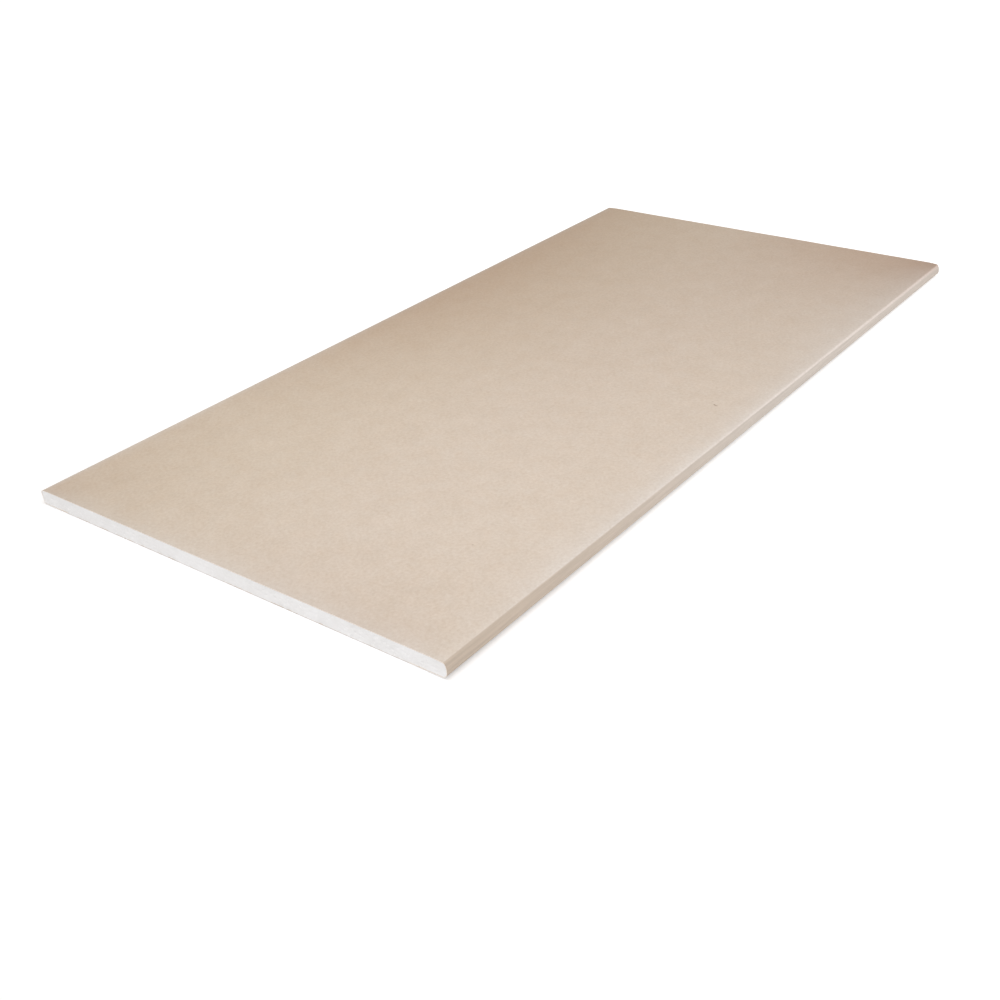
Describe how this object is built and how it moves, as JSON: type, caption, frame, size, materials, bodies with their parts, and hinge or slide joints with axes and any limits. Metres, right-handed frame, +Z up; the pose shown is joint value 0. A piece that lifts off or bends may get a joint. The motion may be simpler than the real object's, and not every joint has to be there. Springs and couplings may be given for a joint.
{
  "type": "drywall sheet",
  "caption": "Flat rectangular gypsum wallboard: white plaster core wrapped in ivory paper over its face and rounded long edges, brown paper on its back, square-cut white ends.",
  "frame": {"origin": "centre of the underside, at the level that the sheet lies on", "axes": "+X across the width, +Y along the length, +Z up out of the ivory face"},
  "size_m": [0.4, 0.8, 0.0125],
  "materials": {
    "gypsum": "matt white plaster, sawn at the ends",
    "face_paper": "matt ivory lining paper",
    "back_paper": "matt greyish brown liner paper"
  },
  "bodies": {
    "root": {"gypsum_core": "gypsum", "face_paper": "face_paper", "back_paper": "back_paper"}
  },
  "joints": []
}
